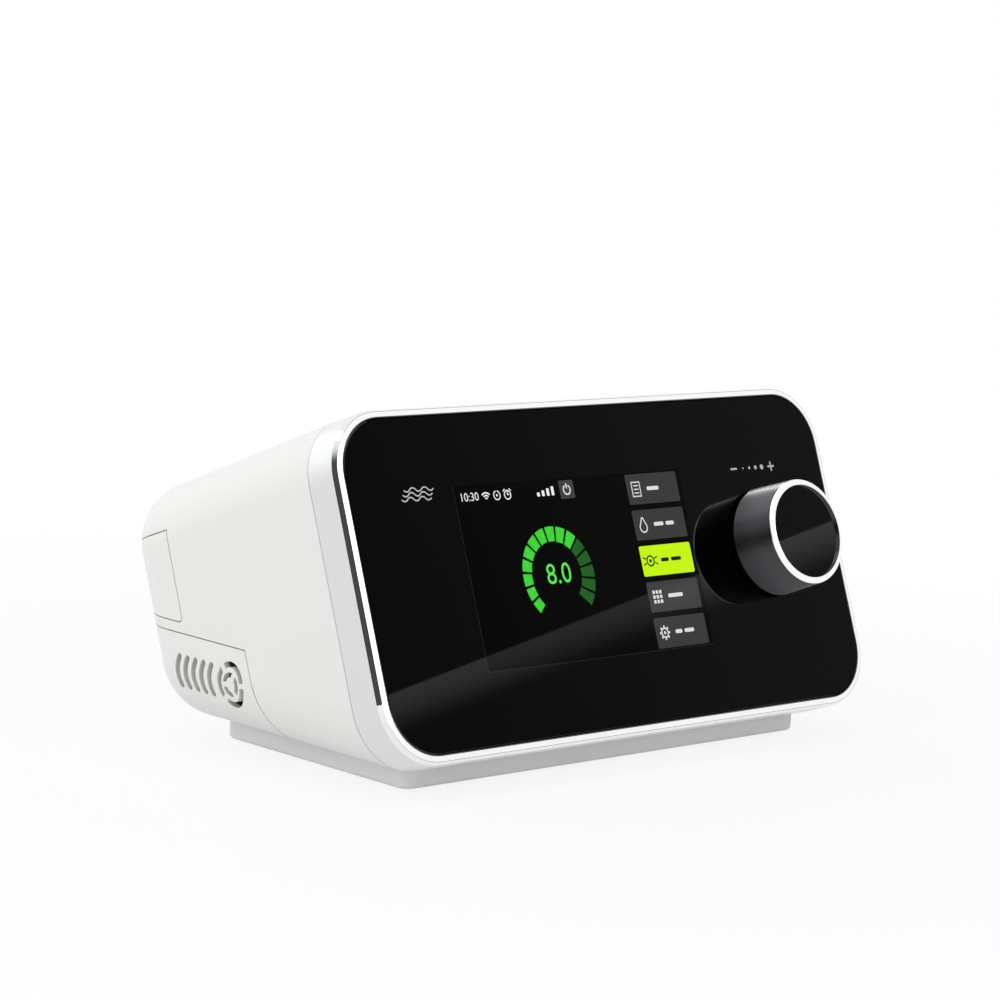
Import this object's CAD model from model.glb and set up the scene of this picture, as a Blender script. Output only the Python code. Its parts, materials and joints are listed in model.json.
"""Looks of the bedside air machine: finishes, the lit screen, fasteners, studio and camera.

Metres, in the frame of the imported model: +X to the right as the glass is faced, +Y to the rear,
+Z up. Sizes on the glass are given in millimetres from the middle of the glass.
"""
from __future__ import annotations

import json
import logging
import math
from dataclasses import dataclass
from enum import Enum
from typing import Any, Callable

import bmesh
import bpy
from bmesh.types import BMesh
from bpy.types import Material, NodeSocket, Object, World
from mathutils import Matrix, Vector


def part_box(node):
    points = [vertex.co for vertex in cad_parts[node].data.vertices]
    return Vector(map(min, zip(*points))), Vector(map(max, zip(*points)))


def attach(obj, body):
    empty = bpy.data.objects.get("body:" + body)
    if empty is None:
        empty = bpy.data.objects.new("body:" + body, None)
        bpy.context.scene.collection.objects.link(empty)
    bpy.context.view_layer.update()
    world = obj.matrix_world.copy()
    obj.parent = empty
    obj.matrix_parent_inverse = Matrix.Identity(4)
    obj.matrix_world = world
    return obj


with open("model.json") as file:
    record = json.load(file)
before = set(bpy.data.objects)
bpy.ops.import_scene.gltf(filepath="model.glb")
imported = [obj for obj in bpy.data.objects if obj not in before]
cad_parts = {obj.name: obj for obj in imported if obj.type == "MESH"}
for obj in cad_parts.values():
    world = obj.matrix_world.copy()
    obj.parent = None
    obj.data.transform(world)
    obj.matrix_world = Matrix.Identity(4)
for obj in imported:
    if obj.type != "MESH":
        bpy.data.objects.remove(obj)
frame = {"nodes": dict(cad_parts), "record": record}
log = logging.getLogger("air_machine")

Triple = tuple[float, float, float]
Colour = Triple
Span = tuple[float, float]

MM = 0.001
TILT = math.radians(21.1)
GLASS_CENTRE = Vector((0.0, -50.195, 58.911)) * MM
KNOB_ON_GLASS = (68.5, 1.9)
WHITE: Colour = (1.0, 1.0, 1.0)


class Body(Enum):
    """The moving groups that a piece can ride on."""

    HOUSING = "housing"
    KNOB = "knob"


class Slot(Enum):
    """The record's material slots that new pieces take their finish from."""

    SCREEN = "display_panel"
    GLASS = "black_glass"
    STEEL = "steel"
    KNOB = "knob_dark"


class Front:
    """The leaning plane of the front glass."""

    NORMAL = Vector((0.0, -math.cos(TILT), math.sin(TILT)))
    UP = Vector((0.0, math.sin(TILT), math.cos(TILT)))

    @staticmethod
    def point(x: float, rise: float, out: float = 0.0) -> Vector:
        """A point from millimetres on the glass and out of it."""
        return GLASS_CENTRE + (Vector((x, 0.0, 0.0)) + Front.UP * rise + Front.NORMAL * out) * MM

    @staticmethod
    def matrix(out: float = 0.0) -> Matrix:
        """Places a flat drawing in millimetres, x across and y up, onto the glass."""
        turn = Matrix((Vector((1, 0, 0)), Front.UP, Front.NORMAL)).transposed().to_4x4()
        return Matrix.Translation(Front.point(0, 0, out)) @ turn @ Matrix.Scale(MM, 4)


# ---------------- shader sums
class Wire:
    """A value or colour on its way between shader nodes; sums on it add Math nodes."""

    def __init__(self, graph: Graph, socket: NodeSocket) -> None:
        """Keep the graph and the output socket."""
        self.graph = graph
        self.socket = socket

    def __add__(self, other: Wire | float) -> Wire:
        """Sum."""
        return self.graph.math("ADD", self, other)

    __radd__ = __add__

    def __sub__(self, other: Wire | float) -> Wire:
        """Difference."""
        return self.graph.math("SUBTRACT", self, other)

    def __rsub__(self, other: float) -> Wire:
        """A number less this value."""
        return self.graph.math("SUBTRACT", other, self)

    def __mul__(self, other: Wire | float) -> Wire:
        """Product."""
        return self.graph.math("MULTIPLY", self, other)

    __rmul__ = __mul__

    def ramp(self, low: float, high: float) -> Wire:
        """A smooth climb from nought at low to one at high.

        Args:
            low: Value where the climb starts.
            high: Value where it ends.

        Returns:
            The eased value, between nought and one.
        """
        return self.graph.node("ShaderNodeMapRange", {"interpolation_type": "SMOOTHSTEP"},
                               {"Value": self, "From Min": low, "From Max": high})

    def swing(self, size: float) -> Wire:
        """A swing of that size about nought, from a value between nought and one."""
        return (self - 0.5) * size


class Graph:
    """The node tree of one material or of the world."""

    # The Mix node has its colour sockets behind those for numbers and vectors.
    MIX_SHARE, MIX_FIRST, MIX_SECOND, MIX_RESULT = 0, 6, 7, 2

    def __init__(self, owner: Material | World) -> None:
        """Start an empty tree.

        Args:
            owner: The material or world whose surface it describes.
        """
        self.owner = owner
        owner.use_nodes = True
        self.tree = owner.node_tree
        self.tree.nodes.clear()

    @staticmethod
    def named(name: str) -> Graph:
        """The empty tree of a new material of that name."""
        return Graph(bpy.data.materials.new(name))

    def node(self, kind: str, settings: dict[str, Any], values: dict[Any, Any],
             out: int | str = 0) -> Wire:
        """Add a node.

        Args:
            kind: The node's Blender type.
            settings: Its properties, set before its sockets.
            values: Numbers, colours or wires, by socket name or number.
            out: The output to return.

        Returns:
            The wire from that output.
        """
        made = self.tree.nodes.new(kind)
        for key, value in settings.items():
            setattr(made, key, value)
        for key, value in values.items():
            if isinstance(value, Wire):
                self.tree.links.new(value.socket, made.inputs[key])
            elif made.inputs[key].type == "RGBA":
                made.inputs[key].default_value = (*value, 1.0)
            else:
                made.inputs[key].default_value = value
        return Wire(self, made.outputs[out])

    def math(self, operation: str, *values: Wire | float) -> Wire:
        """A Math node of that operation on the values given."""
        return self.node("ShaderNodeMath", {"operation": operation}, dict(enumerate(values)))

    def place(self) -> Wire:
        """Object coordinates."""
        return self.node("ShaderNodeTexCoord", {}, {}, "Object")

    def axis(self, index: int) -> Wire:
        """One of the object coordinates, by number."""
        return self.node("ShaderNodeSeparateXYZ", {}, {0: self.place()}, index)

    def along(self, direction: Vector, origin: Vector) -> Wire:
        """Distance along a direction from an origin, in metres."""
        return self.node("ShaderNodeVectorMath", {"operation": "DOT_PRODUCT"},
                         {0: self.place(), 1: direction}, "Value") - direction.dot(origin)

    def away(self, origin: Triple) -> Wire:
        """Distance from a point, in metres."""
        return self.node("ShaderNodeVectorMath", {"operation": "DISTANCE"},
                         {0: self.place(), 1: origin}, "Value")

    def noise(self, size: float, detail: float = 2.0, roughness: float = 0.55) -> Wire:
        """Noise whose blobs are about that size in metres."""
        return self.node("ShaderNodeTexNoise", {}, {
            "Vector": self.place(), "Scale": 1 / size, "Detail": detail, "Roughness": roughness})

    def cells(self, size: float, distance: str = "EUCLIDEAN") -> Wire:
        """Distance from the middles of cells of about that size in metres."""
        return self.node("ShaderNodeTexVoronoi", {"distance": distance},
                         {"Vector": self.place(), "Scale": 1 / size}, "Distance")

    def blend(self, first: Wire | Colour, second: Wire | Colour, share: Wire) -> Wire:
        """Colour between two.

        Args:
            first: The colour at a share of nought.
            second: The colour at a share of one.
            share: How much of the second shows.

        Returns:
            The blended colour.
        """
        return self.node(
            "ShaderNodeMix", {"data_type": "RGBA"},
            {self.MIX_SHARE: share, self.MIX_FIRST: first, self.MIX_SECOND: second},
            self.MIX_RESULT)

    def vary(self, colour: Colour, tones: Span, share: Wire) -> Wire:
        """A colour between two tones of it, given as factors, by share."""
        return self.blend(shade(colour, tones[0]), shade(colour, tones[1]), share)

    def bump(self, height: Wire, strength: float, depth: float) -> Wire:
        """A surface normal disturbed by height, depth being its full height in metres."""
        return self.node("ShaderNodeBump", {},
                         {"Height": height, "Strength": strength, "Distance": depth})

    def glow(self, colour: Colour, strength: Wire | float) -> Wire:
        """A plain emission."""
        return self.node("ShaderNodeEmission", {}, {"Color": colour, "Strength": strength})

    def mix(self, share: Wire, first: Wire, second: Wire) -> Wire:
        """One shader over another, by share."""
        return self.node("ShaderNodeMixShader", {}, {0: share, 1: first, 2: second})

    def seen_clearly(self) -> Wire:
        """Tell clear sight from soft light.

        Returns:
            One for rays from the camera, a reflection or clear glass, else nought.
        """
        seen = self.node("ShaderNodeLightPath", {}, {}, "Is Camera Ray")
        rays = seen.socket.node.outputs
        for kind in ("Is Glossy Ray", "Is Transmission Ray"):
            seen = self.math("MAXIMUM", seen, Wire(self, rays[kind]))
        return seen

    def finish(self, **values: Any) -> Material:
        """Close the tree with a Principled surface.

        Args:
            **values: Sockets by name, spaces written as underscores.

        Returns:
            The finished material.
        """
        return self.close(self.node("ShaderNodeBsdfPrincipled", {},
                                    {k.replace("_", " "): v for k, v in values.items()}))

    def close(self, shader: Wire) -> Material | World:
        """Join a shader to the output.

        Args:
            shader: The surface.

        Returns:
            The tree's owner.
        """
        kind = "World" if isinstance(self.owner, World) else "Material"
        output = self.tree.nodes.new("ShaderNodeOutput" + kind)
        self.tree.links.new(shader.socket, output.inputs["Surface"])
        return self.owner


# ---------------- finishes
# Grains, clouds, patches and pores are given by their size in metres, heights by their depth.
def shade(colour: Colour, factor: float) -> Colour:
    """A colour made lighter or darker by a factor."""
    return tuple(min(1.0, c * factor) for c in colour)


@dataclass(frozen=True)
class Moulded:
    """Moulded plastic with a fine spark-eroded grain and a faint flow mottling."""

    colour: Colour
    roughness: float = 0.42
    specular: float = 0.42
    tones: Span = (0.978, 1.022)
    flow: float = 0.045
    grain: float = 0.00042
    grain_height: float = 0.00003
    relief: float = 0.22

    def material(self, name: str) -> Material:
        """Make the material.

        Args:
            name: Its name.

        Returns:
            The material.
        """
        graph = Graph.named(name)
        broad = graph.noise(self.flow, 3.0)
        fine = graph.noise(self.grain)
        return graph.finish(
            Base_Color=graph.vary(self.colour, self.tones, broad * 0.8 + fine * 0.2),
            Roughness=self.roughness + broad.swing(0.10) + fine.swing(0.08),
            Specular_IOR_Level=self.specular,
            Normal=graph.bump(fine, self.relief, self.grain_height))


@dataclass(frozen=True)
class SatinBand:
    """Silver band with a fine metal flake, a polished bevel and a dark seam at its rear edge.

    The bevel's end and the seam's start are depths behind the glass in millimetres.
    """

    colour: Colour
    bevel_colour: Colour
    bevel_end: Span = (1.96, 2.12)
    seam_start: Span = (11.95, 12.10)
    seam_shade: float = 0.62
    roughness: float = 0.36
    bevel_roughness: float = 0.06
    metallic: float = 0.86
    tones: Span = (0.95, 1.05)
    patch: float = 0.03
    flake: float = 0.00016
    flake_height: float = 0.00002
    relief: float = 0.10

    def material(self, name: str) -> Material:
        """Make the material.

        Args:
            name: Its name.

        Returns:
            The material.
        """
        graph = Graph.named(name)
        depth = graph.along(-Front.NORMAL, GLASS_CENTRE) * (1 / MM)
        bevel = 1 - depth.ramp(*self.bevel_end)
        seam = depth.ramp(*self.seam_start)
        flake = graph.noise(self.flake, 1.0)
        body = graph.vary(self.colour, self.tones, flake * 0.6 + graph.noise(self.patch) * 0.4)
        body = graph.blend(body, shade(self.colour, self.seam_shade), seam)
        rough = (self.roughness + flake.swing(0.14)) * (1 - bevel) + bevel * self.bevel_roughness
        return graph.finish(
            Base_Color=graph.blend(body, self.bevel_colour, bevel),
            Metallic=self.metallic + bevel * (1 - self.metallic),
            Roughness=rough,
            Normal=graph.bump(flake * (1 - bevel), self.relief, self.flake_height))


@dataclass(frozen=True)
class BareMetal:
    """Plain metal with a very fine grain and a faint cloudiness."""

    colour: Colour
    roughness: float
    relief: float = 0.12
    tones: Span = (0.92, 1.06)
    cloud: float = 0.012
    grain: float = 0.00012
    grain_height: float = 0.00001

    def material(self, name: str) -> Material:
        """Make the material.

        Args:
            name: Its name.

        Returns:
            The material.
        """
        graph = Graph.named(name)
        fine = graph.noise(self.grain)
        broad = graph.noise(self.cloud)
        return graph.finish(
            Base_Color=graph.vary(self.colour, self.tones, fine * 0.5 + broad * 0.5),
            Metallic=1.0,
            Roughness=self.roughness + fine.swing(0.10) + broad.swing(0.06),
            Normal=graph.bump(fine, self.relief, self.grain_height))


@dataclass(frozen=True)
class TurnedSkirt:
    """Dark anodised metal, a little uneven from handling and deeper near the glass.

    Its deepening fades out between two heights above the glass, in metres.
    """

    colour: Colour
    roughness: float = 0.28
    metallic: float = 0.95
    relief: float = 0.1
    deepening: float = 0.38
    fade: Span = (0.001, 0.012)
    tones: Span = (0.90, 1.10)
    cloud: float = 0.012
    wear: float = 0.0016
    wear_height: float = 0.000004

    def material(self, name: str) -> Material:
        """Make the material.

        Args:
            name: Its name.

        Returns:
            The material.
        """
        graph = Graph.named(name)
        wear = graph.noise(self.wear, 3.0)
        broad = graph.noise(self.cloud)
        height = graph.along(Front.NORMAL, Front.point(*KNOB_ON_GLASS))
        even = graph.vary(self.colour, self.tones, wear * 0.5 + broad * 0.5)
        deep = shade(self.colour, 1 - self.deepening)
        return graph.finish(
            Base_Color=graph.blend(deep, even, height.ramp(*self.fade)),
            Metallic=self.metallic,
            Roughness=self.roughness + wear.swing(0.05) + broad.swing(0.04),
            Normal=graph.bump(wear, self.relief, self.wear_height))


@dataclass(frozen=True)
class BlackGlass:
    """Back-painted glass: black and glossy, with the faintest ripple."""

    colour: Colour
    roughness: float = 0.008
    specular: float = 0.42
    tones: Span = (0.8, 1.25)
    smear: float = 0.05
    ripple: float = 0.09
    ripple_height: float = 0.0001
    relief: float = 0.03

    def material(self, name: str) -> Material:
        """Make the material.

        Args:
            name: Its name.

        Returns:
            The material.
        """
        graph = Graph.named(name)
        smear = graph.noise(self.smear, 3.0)
        ripple = graph.noise(self.ripple, 1.0)
        return graph.finish(
            Base_Color=graph.vary(self.colour, self.tones, smear),
            Roughness=self.roughness + smear * 0.006,
            Specular_IOR_Level=self.specular,
            Normal=graph.bump(ripple, self.relief, self.ripple_height))


@dataclass(frozen=True)
class Rubbery:
    """Soft rubber with a dusty bloom."""

    colour: Colour
    roughness: float = 0.72
    tones: Span = (1.0, 1.7)
    bloom: float = 0.006
    grain: float = 0.0004
    grain_height: float = 0.00004
    relief: float = 0.3

    def material(self, name: str) -> Material:
        """Make the material.

        Args:
            name: Its name.

        Returns:
            The material.
        """
        graph = Graph.named(name)
        dust = graph.noise(self.bloom, 4.0)
        return graph.finish(
            Base_Color=graph.vary(self.colour, self.tones, dust * 0.7),
            Roughness=self.roughness + dust * 0.15,
            Normal=graph.bump(graph.noise(self.grain), self.relief, self.grain_height))


@dataclass(frozen=True)
class Foam:
    """Open-cell foam or filter fleece: dark pores between lighter walls."""

    colour: Colour
    roughness: float = 0.86
    tones: Span = (0.35, 1.5)
    patch: float = 0.01
    pore: float = 0.0011
    pore_edge: Span = (0.25, 0.75)
    pore_height: float = 0.0004
    relief: float = 0.8

    def material(self, name: str) -> Material:
        """Make the material.

        Args:
            name: Its name.

        Returns:
            The material.
        """
        graph = Graph.named(name)
        pores = graph.cells(self.pore).ramp(*self.pore_edge)
        broad = graph.noise(self.patch, 3.0)
        return graph.finish(
            Base_Color=graph.vary(self.colour, self.tones, pores * 0.8 + broad * 0.2),
            Roughness=self.roughness + broad * 0.1,
            Normal=graph.bump(pores, self.relief, self.pore_height))


@dataclass(frozen=True)
class Laminate:
    """Circuit board with solder mask over fine tracks."""

    colour: Colour
    roughness: float = 0.34
    tones: Span = (1.0, 1.8)
    patch: float = 0.02
    track: float = 0.0016
    track_edge: Span = (0.35, 0.4)
    track_height: float = 0.00003
    relief: float = 0.3

    def material(self, name: str) -> Material:
        """Make the material.

        Args:
            name: Its name.

        Returns:
            The material.
        """
        graph = Graph.named(name)
        tracks = graph.cells(self.track, "MANHATTAN").ramp(*self.track_edge)
        broad = graph.noise(self.patch)
        return graph.finish(
            Base_Color=graph.vary(self.colour, self.tones, tracks * 0.5 + broad * 0.2),
            Roughness=self.roughness + tracks * 0.12,
            Normal=graph.bump(tracks, self.relief, self.track_height))


@dataclass(frozen=True)
class Lit:
    """A lit mark on the screen under the glass: it glows evenly and still shows reflections."""

    colour: Colour
    tones: Span = (0.94, 1.06)
    strength: float = 1.0
    dot: float = 0.0009
    unlit: Colour = (0.004, 0.004, 0.004)
    roughness: float = 0.05
    specular: float = 0.42

    def material(self, name: str) -> Material:
        """Make the material.

        Args:
            name: Its name.

        Returns:
            The material.
        """
        graph = Graph.named(name)
        dots = graph.noise(self.dot, 1.0)
        return graph.finish(
            Base_Color=self.unlit,
            Roughness=self.roughness + dots * 0.02,
            Specular_IOR_Level=self.specular,
            Emission_Color=graph.vary(self.colour, self.tones, dots),
            Emission_Strength=self.strength)


# ---------------- mesh helpers
def linked(name: str, data: bpy.types.ID) -> Object:
    """Make an object and link it into the scene.

    Args:
        name: The object's name.
        data: The mesh, curve, light or camera that it shows.

    Returns:
        The new object.
    """
    made = bpy.data.objects.new(name, data)
    bpy.context.scene.collection.objects.link(made)
    return made


def add_object(mesh: BMesh, name: str, material: Material) -> Object:
    """Turn a finished bmesh into an object in the scene.

    Args:
        mesh: The geometry, in place and in metres.
        name: The object's name.
        material: Its material.

    Returns:
        The new object.
    """
    data = bpy.data.meshes.new(name)
    mesh.to_mesh(data)
    mesh.free()
    data.materials.append(material)
    return linked(name, data)


def keep(mesh: BMesh, name: str, body: Body, material: Material) -> Object:
    """Turn a finished bmesh into a piece that rides on a body.

    Args:
        mesh: The geometry, in place and in metres.
        name: The piece's name.
        body: The moving group that it rides on.
        material: Its material.

    Returns:
        The new object.
    """
    piece = add_object(mesh, name, material)
    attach(piece, body.value)
    log.info("%s: %d faces", name, len(piece.data.polygons))
    return piece


class Drawing:
    """Flat marks drawn in millimetres, x across and y up, and then laid on a plane."""

    CORNER_STEPS = 5
    DISC_STEPS = 40
    ARC_DEGREES_PER_STEP = 7
    FIGURE_HEIGHT = 0.72

    def __init__(self) -> None:
        """Start with nothing drawn."""
        self.mesh = bmesh.new()

    def plate(self, centre: Span, width: float, height: float, corner: float = 0.0,
              turn: float = 0.0) -> None:
        """A filled rectangle with rounded corners.

        Args:
            centre: Its middle.
            width: Its size across.
            height: Its size upwards.
            corner: The corners' radius.
            turn: Its turn to the left, in degrees.
        """
        made = bmesh.ops.create_grid(self.mesh, x_segments=1, y_segments=1, size=0.5)["verts"]
        bmesh.ops.scale(self.mesh, vec=(width, height, 1.0), verts=made)
        bmesh.ops.rotate(self.mesh, cent=(0, 0, 0), verts=made,
                         matrix=Matrix.Rotation(math.radians(turn), 3, "Z"))
        bmesh.ops.translate(self.mesh, vec=(*centre, 0.0), verts=made)
        if corner > 0:
            bmesh.ops.bevel(self.mesh, geom=made, offset=corner, offset_type="OFFSET",
                            segments=self.CORNER_STEPS, profile=0.5, affect="VERTICES",
                            material=-1)

    def disc(self, centre: Span, radius: float) -> None:
        """A filled disc."""
        made = bmesh.ops.create_circle(self.mesh, cap_ends=True, segments=self.DISC_STEPS,
                                       radius=radius)["verts"]
        bmesh.ops.translate(self.mesh, vec=(*centre, 0.0), verts=made)

    def ring(self, centre: Span, radius: float, width: float, start: float = 0.0,
             sweep: float = 360.0) -> None:
        """A flat ring, or a part of one.

        Args:
            centre: Its middle.
            radius: Its outer radius.
            width: Its width.
            start: Where it starts, in degrees to the left from the right-hand side.
            sweep: How far it runs, in degrees.
        """
        part = bmesh.new()
        turn = Matrix.Rotation(math.radians(start), 3, "Z")
        ends = [part.verts.new(turn @ Vector((r, 0.0, 0.0))) for r in (radius - width, radius)]
        bmesh.ops.spin(part, geom=[part.edges.new(ends), *ends], cent=(0, 0, 0), axis=(0, 0, 1),
                       angle=math.radians(sweep), use_merge=sweep >= 360.0,
                       steps=max(3, int(sweep / self.ARC_DEGREES_PER_STEP)))
        part.transform(Matrix.Translation((*centre, 0.0)))
        drawn = bpy.data.meshes.new("ring")
        part.to_mesh(drawn)
        part.free()
        self.mesh.from_mesh(drawn)
        bpy.data.meshes.remove(drawn)

    def figures(self, words: str, centre: Span, height: float) -> None:
        """Plain figures, such as a time or a number, centred on a point.

        Args:
            words: The figures.
            centre: Their middle.
            height: A figure's height.
        """
        curve = bpy.data.curves.new("figures", "FONT")
        curve.body = words
        curve.size = height / self.FIGURE_HEIGHT
        curve.align_x = "CENTER"
        curve.align_y = "CENTER"
        curve.resolution_u = 4
        holder = linked("figures", curve)
        flat = bpy.data.meshes.new_from_object(holder)
        flat.transform(Matrix.Translation((*centre, 0.0)))
        self.mesh.from_mesh(flat)
        bpy.data.objects.remove(holder)
        bpy.data.meshes.remove(flat)

    def lay(self, name: str, material: Material, out: float, slot: Slot = Slot.SCREEN) -> None:
        """Lay the drawing on the glass, a given way out of it in millimetres."""
        self.settle(name, material, Front.matrix(out), Front.NORMAL, slot)

    def settle(self, name: str, material: Material, place: Matrix, facing: Vector,
               slot: Slot) -> None:
        """Put the drawing in its place on the housing.

        What lies on the screen doesn't show in reflections, such as the knob's.

        Args:
            name: The piece's name.
            material: Its material.
            place: From millimetres on the drawing to metres in the frame.
            facing: The way that its faces look.
            slot: The material slot that it belongs to.
        """
        self.mesh.transform(place)
        bmesh.ops.recalc_face_normals(self.mesh, faces=self.mesh.faces[:])
        for face in self.mesh.faces:
            if face.normal.dot(facing) < 0:
                face.normal_flip()
        piece = keep(self.mesh, name, Body.HOUSING, material)
        piece.visible_glossy = slot is not Slot.SCREEN


@dataclass
class Sign:
    """A small plain sign that a pen draws round a point."""

    pen: Drawing
    x: float
    y: float

    def plate(self, right: float, above: float, *sizes: float) -> None:
        """A plate whose middle is that far from the point."""
        self.pen.plate((self.x + right, self.y + above), *sizes)

    def ring(self, above: float, *sizes: float) -> None:
        """A ring, or a part of one, whose middle is that far above the point."""
        self.pen.ring((self.x, self.y + above), *sizes)

    def dot(self, radius: float) -> None:
        """A disc on the point."""
        self.pen.disc((self.x, self.y), radius)

    def radio(self) -> None:
        """Three arcs that spread upwards."""
        for radius in (2.4, 1.6, 0.8):
            self.ring(-1.2, radius, 0.42, 45, 90)

    def ready(self) -> None:
        """A dot in an open ring."""
        self.dot(0.35)
        self.ring(0.0, 1.45, 0.35, 100, 340)

    def alarm(self) -> None:
        """A small clock with two bells."""
        self.ring(-0.1, 1.45, 0.36)
        self.plate(0.0, 0.35, 0.32, 0.95)
        self.plate(0.3, -0.05, 0.8, 0.32)
        for side in (-1, 1):
            self.plate(side * 1.2, 1.35, 1.0, 0.36, 0.1, -side * 40)

    def signal(self) -> None:
        """Four bars that grow to the right of the point."""
        for index in range(4):
            self.plate(index * 2.0, index * 0.25 - 0.75, 1.1, 1.2 + index * 0.5, 0.2)

    def power(self) -> None:
        """An open ring with an upright bar in its gap."""
        self.ring(0.0, 1.6, 0.42, 118, 304)
        self.plate(0.0, 1.15, 0.42, 1.6, 0.15)

    def page(self) -> None:
        """A page with three lines."""
        for side in (-1, 1):
            self.plate(side * 1.75, 0.0, 0.35, 4.6)
            self.plate(0.0, side * 2.15, 3.5, 0.35)
        for step in (-1, 0, 1):
            self.plate(0.0, step * 1.1, 2.1, 0.35)

    def drop(self) -> None:
        """A water drop."""
        self.ring(-0.7, 1.7, 0.42, 130, 280)
        for side in (-1, 1):
            self.plate(side * 0.62, 1.35, 0.42, 2.3, 0.1, side * 27)

    def cushion(self) -> None:
        """A cushion ring with the ends of two straps."""
        self.ring(0.0, 1.75, 0.5)
        self.dot(0.55)
        for side in (-1, 1):
            for end in (1, -1):
                self.plate(side * 2.45, end * 0.9, 1.5, 0.4, 0.1, side * end * 20)

    def grid(self) -> None:
        """Nine small squares."""
        for row in (-1, 0, 1):
            for column in (-1, 0, 1):
                self.plate(column * 1.45, row * 1.45, 1.0, 1.0)

    def gear(self) -> None:
        """A toothed wheel."""
        self.ring(0.0, 1.6, 0.45)
        self.dot(0.5)
        for turn in range(0, 360, 45):
            tooth = Matrix.Rotation(math.radians(turn), 2) @ Vector((1.85, 0.0))
            self.plate(*tooth, 0.7, 0.6, 0.0, turn)


Draw = Callable[[Sign], None]


# ---------------- the dressed sub-assemblies
@dataclass
class Shell:
    """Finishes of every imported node, by material slot."""

    white: Colour = (0.80, 0.795, 0.78)

    def finishes(self) -> dict[str, Any]:
        """Choose the finishes.

        Returns:
            The finish of each of the record's material slots.
        """
        return {
            "housing_white": Moulded(self.white),
            "foot_grey": Moulded((0.80, 0.79, 0.795), roughness=0.46),
            "satin_silver": SatinBand((0.72, 0.725, 0.732), (0.85, 0.855, 0.86)),
            "bright_trim": BareMetal((0.96, 0.96, 0.965), 0.09, relief=0.02),
            "black_glass": BlackGlass((0.0006, 0.0006, 0.0008)),
            "knob_dark": TurnedSkirt((0.068, 0.069, 0.073)),
            "display_panel": BlackGlass((0.003, 0.003, 0.0035)),
            "board_green": Laminate((0.03, 0.17, 0.07)),
            "inner_black": Moulded((0.03, 0.03, 0.032), roughness=0.5),
            "soft_rubber": Rubbery((0.035, 0.035, 0.037)),
            "filter_media": Foam((0.06, 0.06, 0.065)),
            "steel": BareMetal((0.60, 0.60, 0.61), 0.28),
            "inner_plastic": Moulded((0.68, 0.675, 0.65), roughness=0.5),
            "port_plastic": Moulded((0.76, 0.755, 0.74), roughness=0.36),
            "card_blue": Moulded((0.03, 0.08, 0.22), roughness=0.35),
        }

    def dress(self, nodes: dict[str, Object], record: dict[str, Any]) -> dict[str, Material]:
        """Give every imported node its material.

        Args:
            nodes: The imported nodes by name.
            record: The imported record, whose sub-parts name their slots.

        Returns:
            The material of each slot.
        """
        made = {slot: finish.material(slot) for slot, finish in self.finishes().items()}
        for part in record["subparts"]:
            node = nodes[part["node"]]
            node.data.materials.clear()
            node.data.materials.append(made[part["material_slot"]])
            log.info("%s: %s", part["node"], part["material_slot"])
        return made


class Ink(Enum):
    """Colours of the screen and of what it shows."""

    OFF = (0.0002, 0.0002, 0.0003)
    EDGE = (0.02, 0.02, 0.021)
    STATUS = (0.86, 0.87, 0.88)
    POWER_BOX = (0.045, 0.045, 0.047)
    POWER = (0.80, 0.81, 0.82)
    DIAL = (0.045, 0.66, 0.035)
    DIAL_DIM = (0.010, 0.11, 0.012)
    NUMBER = (0.10, 0.80, 0.07)
    TILE = (0.037, 0.037, 0.038)
    TILE_CHOSEN = (0.545, 0.91, 0.0)
    MARK = (0.72, 0.73, 0.74)
    MARK_CHOSEN = (0.01, 0.014, 0.0)


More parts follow.
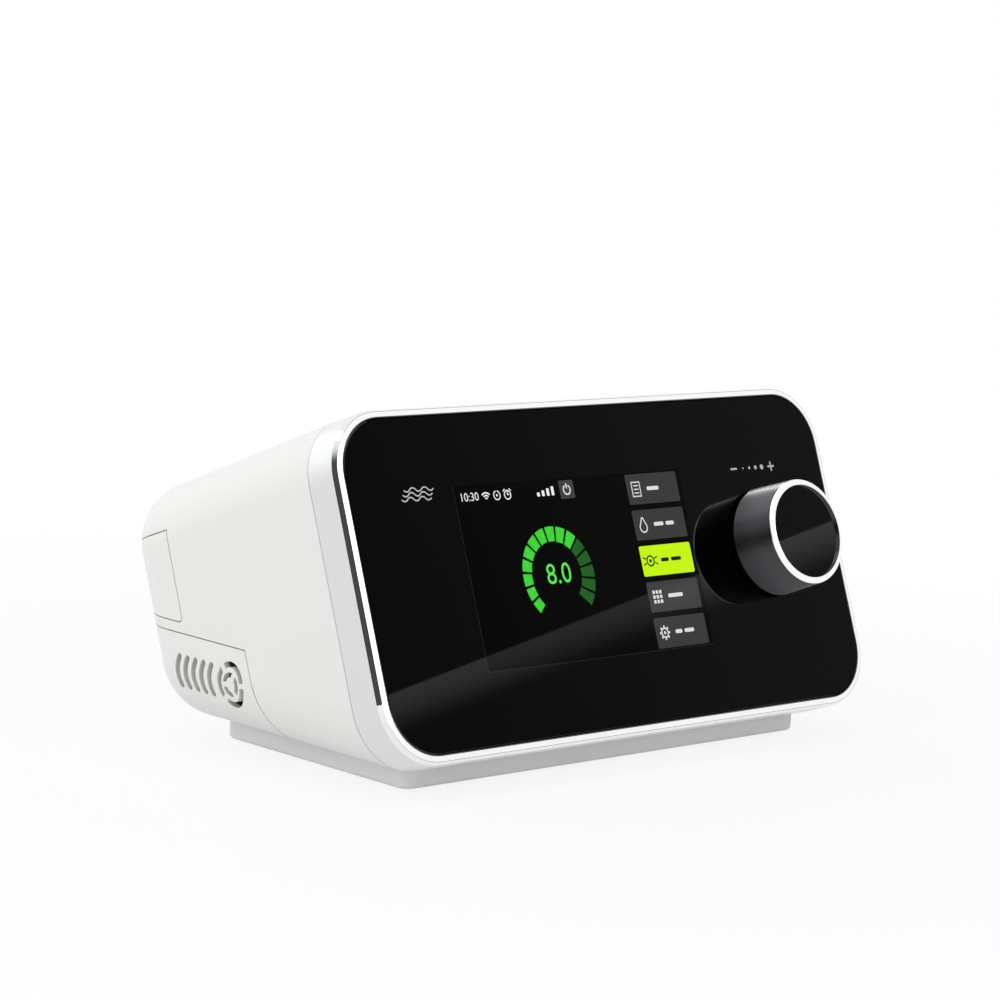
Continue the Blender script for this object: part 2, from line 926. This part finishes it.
@dataclass
class Screen:
    """The lit picture under the glass: status line, green dial and five menu tiles."""

    left: float = -59.9
    right: float = 34.9
    half_height: float = 26.95
    edge_line: float = 0.2
    face_specular: float = 0.27

    status_rise: float = 23.4
    clock: str = "10:30"
    clock_x: float = -54.3
    clock_height: float = 2.5
    signs: tuple[tuple[Draw, float], ...] = (
        (Sign.radio, -47.6), (Sign.ready, -43.2), (Sign.alarm, -38.9), (Sign.signal, -26.4))
    power_x: float = -14.4
    power_box: Triple = (6.0, 5.5, 0.5)

    dial: Span = (-24.5, -1.6)
    dial_radius: float = 14.6
    dial_start: float = 225.0
    dial_sweep: float = 270.0
    segments: int = 15
    segments_lit: int = 10
    segment_gap: float = 3.4
    segment_width: float = 3.2
    segment_growth: float = 2.6
    segment_tones: Span = (0.75, 1.25)
    number: str = "8.0"
    number_lift: float = 0.3
    number_height: float = 6.2

    tile_x: float = 22.05
    tile_top: float = 21.8
    tile_pitch: float = 10.95
    tile_width: float = 22.3
    tile_height: float = 9.2
    tile_corner: float = 0.6
    tile_chosen: int = 2
    menu: tuple[tuple[Draw, tuple[float, ...]], ...] = (
        (Sign.page, (5.2,)), (Sign.drop, (4.2, 3.6)), (Sign.cushion, (3.4, 4.4)),
        (Sign.grid, (6.4,)), (Sign.gear, (3.0, 4.2)))
    sign_shift: float = -7.2
    bars_shift: float = -2.6
    bar_height: float = 1.15
    bar_corner: float = 0.5
    bar_gap: float = 1.0

    face_out: float = 0.02
    tile_out: float = 0.035
    mark_out: float = 0.05

    def build(self) -> None:
        """Lay every part of the picture on the glass."""
        for part in (self.face, self.status, self.gauge, self.tiles):
            part()

    def face(self) -> None:
        """The dark active area with a faint lighter line at its left and bottom edges."""
        middle = (self.left + self.right) / 2
        width, height = self.right - self.left, 2 * self.half_height
        sheet = Drawing()
        sheet.plate((middle, 0.0), width, height)
        sheet.lay("screen_face", BlackGlass(
            Ink.OFF.value, specular=self.face_specular).material("screen_off"), self.face_out)
        edge = Drawing()
        edge.plate((middle, -self.half_height - self.edge_line / 2), width, self.edge_line)
        edge.plate((self.left - self.edge_line / 2, 0.0), self.edge_line, height)
        edge.lay("screen_edge", BlackGlass(Ink.EDGE.value).material("screen_edge"), self.face_out)

    def status(self) -> None:
        """The line along the top: the time, plain signs, and the power sign in its box."""
        rise = self.status_rise
        pen = Drawing()
        pen.figures(self.clock, (self.clock_x, rise), self.clock_height)
        for draw, x in self.signs:
            draw(Sign(pen, x, rise))
        pen.lay("status_marks", Lit(Ink.STATUS.value).material("status_light"), self.mark_out)
        box = Drawing()
        box.plate((self.power_x, rise + 0.1), *self.power_box)
        box.lay("mode_box", Lit(Ink.POWER_BOX.value).material("mode_box"), self.tile_out)
        power = Drawing()
        Sign(power, self.power_x, rise).power()
        power.lay("mode_mark", Lit(Ink.POWER.value).material("mode_light"), self.mark_out)

    def gauge(self) -> None:
        """A dial of green segments that grow round a plain number."""
        lit, dim, number = Drawing(), Drawing(), Drawing()
        pitch = self.dial_sweep / self.segments
        for index in range(self.segments):
            end = self.dial_start - (index + 1) * pitch
            width = self.segment_width + self.segment_growth * index / self.segments
            pen = lit if index < self.segments_lit else dim
            pen.ring(self.dial, self.dial_radius, width, end + self.segment_gap,
                     pitch - self.segment_gap)
        x, y = self.dial
        number.figures(self.number, (x, y + self.number_lift), self.number_height)
        green = Lit(Ink.DIAL.value, self.segment_tones)
        lit.lay("dial_lit", green.material("dial_green"), self.mark_out)
        dim.lay("dial_dim", Lit(Ink.DIAL_DIM.value).material("dial_dim"), self.mark_out)
        number.lay("dial_number", Lit(Ink.NUMBER.value).material("number_green"), self.mark_out)

    def tiles(self) -> None:
        """The five menu tiles, each with a plain sign and short bars."""
        grey, bright, light, dark = Drawing(), Drawing(), Drawing(), Drawing()
        for index, (draw, bars) in enumerate(self.menu):
            y = self.tile_top - index * self.tile_pitch
            tile, pen = (bright, dark) if index == self.tile_chosen else (grey, light)
            tile.plate((self.tile_x, y), self.tile_width, self.tile_height, self.tile_corner)
            draw(Sign(pen, self.tile_x + self.sign_shift, y))
            start = self.tile_x + self.bars_shift
            for length in bars:
                pen.plate((start + length / 2, y), length, self.bar_height, self.bar_corner)
                start += length + self.bar_gap
        grey.lay("menu_tiles", Lit(Ink.TILE.value).material("tile_grey"), self.tile_out)
        bright.lay("menu_chosen", Lit(Ink.TILE_CHOSEN.value).material("tile_lime"), self.tile_out)
        light.lay("menu_marks", Lit(Ink.MARK.value).material("mark_light"), self.mark_out)
        dark.lay("menu_chosen_mark", BlackGlass(Ink.MARK_CHOSEN.value).material("mark_dark"),
                 self.mark_out)


@dataclass
class Knob:
    """Fine turned ridges round the knob's side, from near the glass up to its bright rim."""

    base_radius: float = 16.9
    front_radius: float = 16.3
    base_rise: float = 1.5
    low: float = 1.8
    shoulder: float = 14.66
    top: float = 15.6
    pitch: float = 0.30
    depth: float = 0.11
    proud: float = 0.01
    wall: float = 0.3
    steps: int = 144
    seam: float = 0.0005
    crease: float = 20.0

    def radius(self, rise: float) -> float:
        """Measure the knob's side.

        Args:
            rise: A height above the glass.

        Returns:
            The ridges' inner radius at that height.
        """
        slope = (self.base_radius - self.front_radius) / (self.shoulder - self.base_rise)
        side = self.base_radius - slope * (rise - self.base_rise)
        return max(self.front_radius, side) + self.proud

    def build(self, material: Material) -> None:
        """Turn the ridges on the knob's side.

        Args:
            material: The dark turned finish.
        """
        cuts = 2 * round((self.top - self.low) / self.pitch)
        rises = [self.low + (self.top - self.low) * index / cuts for index in range(cuts + 1)]
        outline = [(self.radius(rise) + self.depth * (index % 2), rise)
                   for index, rise in enumerate(rises)]
        inside = self.front_radius - self.wall
        outline += [(inside, self.top), (inside, self.low)]
        mesh = bmesh.new()
        verts = [mesh.verts.new((radius, 0.0, rise)) for radius, rise in outline]
        for index, vert in enumerate(verts):
            mesh.edges.new((verts[index - 1], vert))
        bmesh.ops.spin(mesh, geom=mesh.verts[:] + mesh.edges[:], cent=(0, 0, 0), axis=(0, 0, 1),
                       angle=math.tau, steps=self.steps, use_merge=True)
        bmesh.ops.remove_doubles(mesh, verts=mesh.verts[:], dist=self.seam)
        bmesh.ops.recalc_face_normals(mesh, faces=mesh.faces[:])
        for face in mesh.faces:
            face.smooth = True
        for edge in mesh.edges:
            edge.smooth = edge.calc_face_angle(0.0) < math.radians(self.crease)
        mesh.transform(Front.matrix() @ Matrix.Translation((*KNOB_ON_GLASS, 0.0)))
        keep(mesh, "knob_ridges", Body.KNOB, material)


@dataclass
class GlassMarks:
    """Small printed marks on the glass: less and more above the knob, and an air-flow sign."""

    ink: Colour = (0.60, 0.605, 0.61)
    line: float = 0.62
    stroke: float = 3.0
    corner: float = 0.2
    knob_rise: float = 25.6
    knob_reach: float = 8.6
    dots: int = 4
    dot_pitch: float = 2.9
    dot_radius: float = 0.3
    dot_growth: float = 0.17
    sign: Span = (-74.0, 25.6)
    waves: int = 5
    wave_radius: float = 1.5
    wave_sweep: float = 100.0
    wave_pitch: float = 1.35
    wave_shift: float = 0.7
    wave_line: float = 0.38
    out: float = 0.02

    def build(self) -> None:
        """Print the marks."""
        pen = Drawing()
        self.less_and_more(pen)
        self.air_flow(pen)
        ink = Moulded(self.ink, relief=0.0)
        pen.lay("glass_marks", ink.material("white_ink"), self.out, Slot.GLASS)

    def less_and_more(self, pen: Drawing) -> None:
        """A minus, growing dots and a plus, above the knob.

        Args:
            pen: The drawing that they go on.
        """
        knob_x = KNOB_ON_GLASS[0]
        arm = (self.stroke - self.line) / 2
        for side in (-1, 1):
            pen.plate((knob_x + side * self.knob_reach, self.knob_rise),
                      self.stroke, self.line, self.corner)
        for end in (-1, 1):
            pen.plate((knob_x + self.knob_reach, self.knob_rise + end * (self.line + arm) / 2),
                      self.line, arm, self.corner)
        for index in range(self.dots):
            shift = (index - (self.dots - 1) / 2) * self.dot_pitch
            pen.disc((knob_x + shift, self.knob_rise), self.dot_radius + index * self.dot_growth)

    def air_flow(self, pen: Drawing) -> None:
        """Three wavy lines, each made of arcs that bend up and down in turn.

        Args:
            pen: The drawing that they go on.
        """
        half = self.wave_sweep / 2
        rise = self.wave_radius * math.cos(math.radians(half))
        step = 2 * self.wave_radius * math.sin(math.radians(half))
        for row in (-1, 0, 1):
            for column in range(self.waves):
                crest = 1 if column % 2 else -1
                shift = (column - self.waves // 2) * step + row * self.wave_shift
                centre = (self.sign[0] + shift,
                          self.sign[1] + row * self.wave_pitch - crest * rise)
                pen.ring(centre, self.wave_radius + self.wave_line / 2, self.wave_line,
                         crest * 90 - half, self.wave_sweep)


@dataclass
class Fasteners:
    """Cross recesses in the heads of the four screws under the foot."""

    head_radius: float = 2.9
    arm: float = 1.6
    width: float = 0.75
    below: float = 0.02
    dark: Colour = (0.02, 0.02, 0.021)
    roughness: float = 0.5

    def build(self) -> None:
        """Lay a dark cross on each head."""
        low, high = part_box("base_screws")
        reach = self.head_radius * MM
        pen = Drawing()
        side = self.arm - self.width / 2
        for x in ((low[0] + reach) / MM, (high[0] - reach) / MM):
            for y in ((low[1] + reach) / MM, (high[1] - reach) / MM):
                pen.plate((x, y), self.width, 2 * self.arm)
                for way in (-1, 1):
                    pen.plate((x + way * (self.width + side) / 2, y), side, self.width)
        place = Matrix.Translation((0.0, 0.0, low[2] - self.below * MM)) @ Matrix.Scale(MM, 4)
        pen.settle("screw_recesses", BareMetal(self.dark, self.roughness).material("recess_dark"),
                   place, Vector((0.0, 0.0, -1.0)), Slot.STEEL)


# ---------------- studio
def add_stage(mesh: BMesh, name: str, material: Material, mirrored_only: bool = False) -> None:
    """Turn a bmesh into a stage object, which isn't part of the machine.

    Args:
        mesh: The geometry, in place and in metres.
        name: The object's name.
        material: What it shows.
        mirrored_only: Whether it shows in reflections and nowhere else.
    """
    piece = add_object(mesh, name, material)
    if mirrored_only:
        for ray in ("camera", "diffuse", "transmission", "shadow"):
            setattr(piece, "visible_" + ray, False)


def hang_card(name: str, centre: Vector, across: Vector, upward: Vector, size: Span,
              material: Material) -> None:
    """Hang a flat card that only reflections see.

    Args:
        name: Its name.
        centre: Its middle.
        across: Unit vector along its width.
        upward: Unit vector along its height.
        size: Its width and height.
        material: What it shows.
    """
    mesh = bmesh.new()
    made = bmesh.ops.create_grid(mesh, x_segments=1, y_segments=1, size=0.5)["verts"]
    bmesh.ops.scale(mesh, vec=(*size, 1.0), verts=made)
    turn = Matrix((across, upward, across.cross(upward))).transposed().to_4x4()
    mesh.transform(Matrix.Translation(centre) @ turn)
    add_stage(mesh, name, material, mirrored_only=True)


@dataclass
class GlassCard:
    """A dark card for the glass, with a grey band that fades downwards from a sharp edge.

    The edge runs across the card at a slope, with one kink; the card pales to its right.
    """

    centre: Triple = (0.70094, -0.66583, 0.41903)
    across: Triple = (0.65991, 0.75135, 0.0)
    upward: Triple = (-0.27057, 0.23765, 0.93291)
    size: Span = (0.46, 0.40)
    slope: float = -0.1
    level: float = -0.051
    kink: Span = (0.066, 0.086)
    kink_rise: float = 0.003
    edge: Span = (-0.0004, 0.0006)
    fade: Span = (0.0, 0.026)
    band_light: float = 0.56
    dark: float = 0.085
    pale_from: Span = (-0.14, 0.12)
    pale_light: float = 0.07

    def build(self) -> None:
        """Hang the card."""
        centre, across, upward = Vector(self.centre), Vector(self.across), Vector(self.upward)
        graph = Graph.named("glass_card")
        side = graph.along(across, centre)
        line = side * self.slope + self.level + side.ramp(*self.kink) * self.kink_rise
        depth = line - graph.along(upward, centre)
        band = depth.ramp(*self.edge) * (1 - depth.ramp(*self.fade))
        strength = (band * self.band_light + side.ramp(*self.pale_from) * self.pale_light
                    + self.dark)
        hang_card("glass_card", centre, across, upward, self.size,
                  graph.close(graph.glow(WHITE, strength)))


@dataclass
class BevelCard:
    """A dark curved card at the left, which draws the dark line along the bevel by the glass.

    It rises from a line low at the left and bends over towards the machine. Its ends and its
    top fade to white.
    """

    start: Span = (-1.1, 0.03)
    ends: Span = (-0.33, 0.55)
    pivot_rise: float = 0.06
    sweep: float = 60.0
    steps: int = 20
    front_fade: Span = (-0.33, -0.20)
    rear_fade: Span = (0.20, 0.55)
    top_fade: Span = (0.56, 1.0)
    darkness: float = 0.935
    colour: Colour = (0.96, 0.98, 1.0)

    def build(self) -> None:
        """Hang the card."""
        graph = Graph.named("bevel_card")
        along, height = graph.axis(1), graph.axis(2)
        middle = along.ramp(*self.front_fade) * (1 - along.ramp(*self.rear_fade))
        strength = 1 - (1 - height.ramp(*self.top_fade)) * middle * self.darkness
        mesh = bmesh.new()
        x, z = self.start
        ends = [mesh.verts.new((x, y, z)) for y in self.ends]
        bmesh.ops.spin(mesh, geom=[mesh.edges.new(ends), *ends], cent=(0.0, 0.0, self.pivot_rise),
                       axis=(0, 1, 0), angle=math.radians(self.sweep), steps=self.steps,
                       use_merge=False)
        add_stage(mesh, "bevel_card", graph.close(graph.glow(self.colour, strength)),
                  mirrored_only=True)


@dataclass
class DuskCard:
    """A card, dark in its middle and soft at its edge, that the knob's left side mirrors."""

    centre: Triple = (-1.05, -0.66, 0.40)
    width: float = 1.12
    fade: Span = (0.14, 0.56)
    dark: float = 0.02
    light: float = 0.95

    def build(self) -> None:
        """Hang the card, facing the machine."""
        graph = Graph.named("dusk_card")
        strength = graph.away(self.centre).ramp(*self.fade) * self.light + self.dark
        centre = Vector(self.centre)
        facing = -centre.normalized()
        across = Vector((0.0, 0.0, 1.0)).cross(facing).normalized()
        hang_card("dusk_card", centre, across, facing.cross(across), (self.width, self.width),
                  graph.close(graph.glow(WHITE, strength)))


@dataclass(frozen=True)
class Lamp:
    """A square soft light, aimed at the machine; its width in metres and its power in watts."""

    name: str
    place: Triple
    width: float
    power: float
    mirrored_only: bool = False
    target: Triple = (0.0, 0.0, 0.05)

    def hang(self) -> None:
        """Hang the lamp."""
        light = bpy.data.lights.new(self.name, "AREA")
        light.shape = "SQUARE"
        light.size = self.width
        light.energy = self.power
        holder = linked(self.name, light)
        holder.visible_diffuse = not self.mirrored_only
        aim = Vector(self.target) - Vector(self.place)
        holder.matrix_world = (Matrix.Translation(self.place)
                               @ aim.to_track_quat("-Z", "Y").to_matrix().to_4x4())


@dataclass
class Viewpoint:
    """The camera, low at the front left."""

    place: Triple = (-0.77013, -0.76707, 0.23188)
    right: Triple = (0.71083615, -0.70049488, 0.06339473)
    down: Triple = (-0.05861066, -0.14881085, -0.98712721)
    forward: Triple = (0.70091138, 0.6979701, -0.1468366)
    lens: float = 129.87
    sensor: float = 36.0
    clip: Span = (0.01, 50.0)

    def build(self) -> None:
        """Place the camera."""
        data = bpy.data.cameras.new("camera")
        data.lens = self.lens
        data.sensor_width = self.sensor
        data.sensor_fit = "HORIZONTAL"
        data.clip_start, data.clip_end = self.clip
        holder = linked("camera", data)
        axes = Matrix((Vector(self.right), -Vector(self.down), -Vector(self.forward)))
        holder.matrix_world = Matrix.Translation(self.place) @ axes.transposed().to_4x4()
        bpy.context.scene.camera = holder


@dataclass
class Studio:
    """Pale surround and floor, soft lamps, cards for the gloss to mirror, and the camera."""

    world_strength: float = 0.62
    floor_half: float = 6.0
    floor_drop: float = 0.0001
    floor_tones: Span = (0.82, 0.86)
    floor_dust: float = 0.4
    near_lift: float = 0.86
    lift_reach: Span = (0.16, 0.42)
    lamps: tuple[Lamp, ...] = (
        Lamp("lamp_top", (-0.3, 0.1, 1.9), 1.8, 8.4),
        Lamp("lamp_left", (-1.9, 0.2, 1.0), 1.5, 11.2),
        Lamp("lamp_front", (0.4, -2.2, 1.3), 1.4, 5.0),
        Lamp("lamp_rear", (-0.45, 1.75, 0.85), 1.9, 4.8),
        Lamp("lamp_streak", (0.67, 0.68, 1.53), 0.40, 17.0, mirrored_only=True),
    )

    def build(self) -> None:
        """Make everything round the machine."""
        self.world()
        self.floor()
        for lamp in self.lamps:
            lamp.hang()
        for piece in (GlassCard(), BevelCard(), DuskCard(), Viewpoint()):
            piece.build()

    def world(self) -> None:
        """An even pale surround that the camera and clear reflections see as white."""
        graph = Graph(bpy.data.worlds.new("surround"))
        soft, clear = (
            graph.node("ShaderNodeBackground", {}, {"Color": WHITE, "Strength": strength})
            for strength in (self.world_strength, 1.0))
        bpy.context.scene.world = graph.close(graph.mix(graph.seen_clearly(), soft, clear))

    def floor(self) -> None:
        """A plain pale floor that keeps the machine's shadow and turns white away from it."""
        graph = Graph.named("floor_pale")
        base = graph.node("ShaderNodeBsdfPrincipled", {}, {
            "Base Color": graph.vary(WHITE, self.floor_tones, graph.noise(self.floor_dust)),
            "Roughness": 0.7, "Specular IOR Level": 0.1})
        away = graph.away((0.0, 0.0, 0.0)).ramp(*self.lift_reach)
        lift = self.near_lift + away * (1 - self.near_lift)
        material = graph.close(
            graph.mix(graph.seen_clearly() * lift, base, graph.glow(WHITE, 1.0)))
        mesh = bmesh.new()
        made = bmesh.ops.create_grid(mesh, x_segments=2, y_segments=2,
                                     size=self.floor_half)["verts"]
        bmesh.ops.translate(mesh, vec=(0.0, 0.0, -self.floor_drop), verts=made)
        add_stage(mesh, "floor", material)


def main() -> None:
    """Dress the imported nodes, add the ridges, screen, marks and recesses, and set the stage."""
    logging.basicConfig(level=logging.INFO, format="%(name)s %(message)s")
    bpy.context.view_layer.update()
    bpy.context.scene.view_settings.view_transform = "Standard"
    finishes = Shell().dress(frame["nodes"], frame["record"])
    Knob().build(finishes[Slot.KNOB.value])
    Screen().build()
    GlassMarks().build()
    Fasteners().build()
    Studio().build()
    bpy.context.view_layer.update()


if __name__ == "__main__":
    main()
